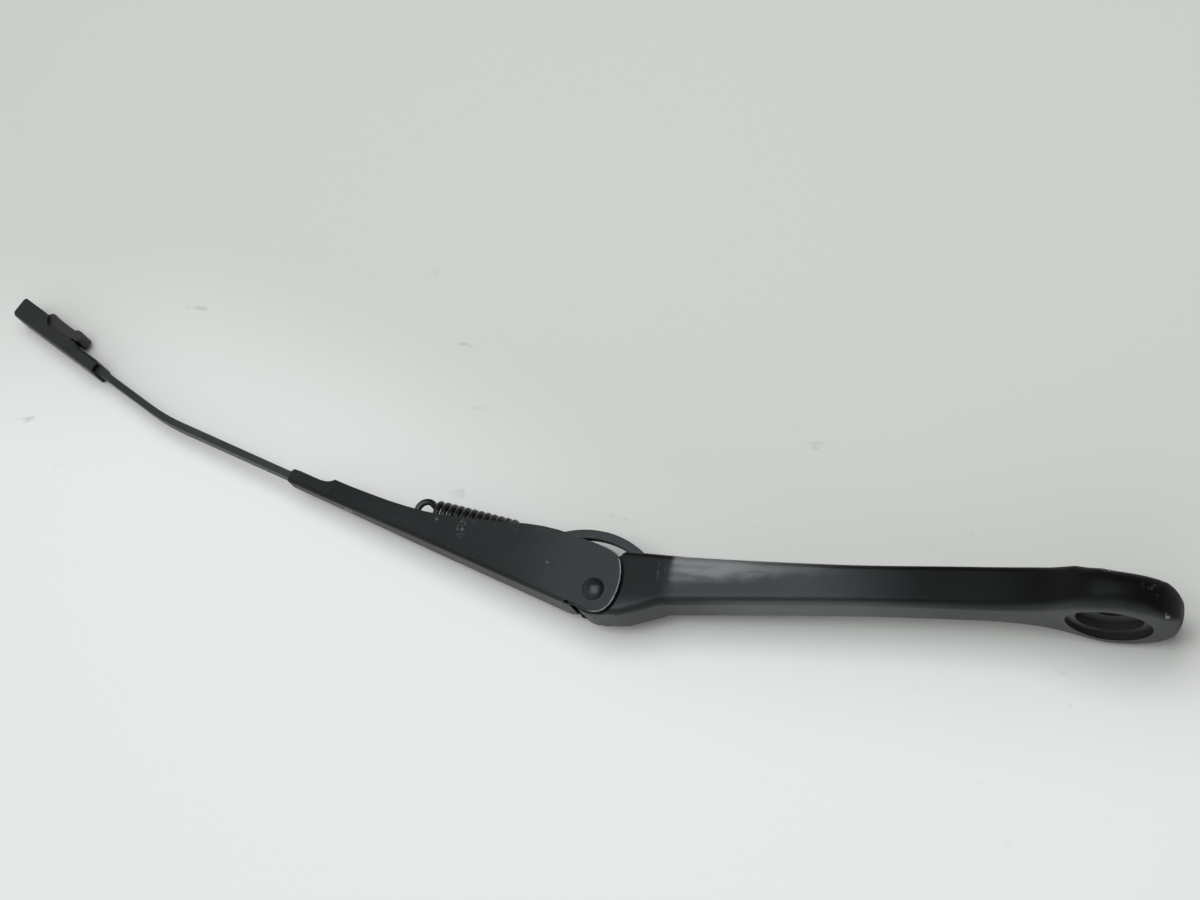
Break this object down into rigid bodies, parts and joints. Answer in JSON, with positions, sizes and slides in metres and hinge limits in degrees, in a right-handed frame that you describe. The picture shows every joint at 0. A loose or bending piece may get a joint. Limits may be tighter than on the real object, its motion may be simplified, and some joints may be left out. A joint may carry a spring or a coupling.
{
  "type": "wiper arm",
  "caption": "Wiper arm with a cast head and spindle boss, a hinged sheet channel with a tension spring, and a flat bar that ends in a blade sleeve.",
  "frame": {"origin": "centre of the spindle bore at the head's mounting face, on the side of the glass", "axes": "+X from the blade end towards the spindle, +Y out of the mounting face towards the vehicle, along the spindle bore, +Z along the hinge's axis"},
  "size_m": [0.5563, 0.1415, 0.0558],
  "materials": {
    "head_paint": "worn satin black paint, scuffed to grey at the hinge end",
    "channel_paint": "satin black paint with chipped edges",
    "bar_paint": "satin black paint, dusty on the outer face",
    "sleeve_paint": "satin black paint",
    "bush": "off-white bearing plastic",
    "rivet": "black painted rivet head with worn rim",
    "pin": "dull steel",
    "link": "black phosphated steel",
    "spring": "black coated spring wire",
    "adapter": "black moulded plastic"
  },
  "bodies": {
    "head": {"arm_head": "head_paint", "hinge_bush_near": "bush", "hinge_bush_far": "bush", "anchor_pin": "pin"},
    "arm": {"arm_channel": "channel_paint", "hinge_rivet": "rivet", "flat_bar": "bar_paint", "bar_rivet": "rivet", "blade_sleeve": "sleeve_paint", "sleeve_rivet": "rivet", "blade_adapter": "adapter"},
    "link": {"spring_link": "link"},
    "spring": {"tension_spring": "spring"}
  },
  "joints": [
    {"name": "fold", "type": "hinge", "parent": "head", "child": "arm", "pos_m": [-0.2205, -0.013, 0], "axis": [0, 0, 1], "range_deg": [0, 60]},
    {"name": "link_swing", "type": "hinge", "parent": "head", "child": "link", "pos_m": [-0.1985, -0.0006, 0], "axis": [0, 0, 1], "range_deg": [0, 48.7]},
    {"name": "spring_swing", "type": "hinge", "parent": "arm", "child": "spring", "pos_m": [-0.31206, 0.01949, 0], "axis": [0, 0, 1], "range_deg": [-11.5, 0], "deforming": ["tension_spring"]}
  ],
  "couplings": [
    {"joint": "link_swing", "follows": "fold", "ratio": 0.81},
    {"joint": "spring_swing", "follows": "fold", "ratio": -0.19}
  ]
}
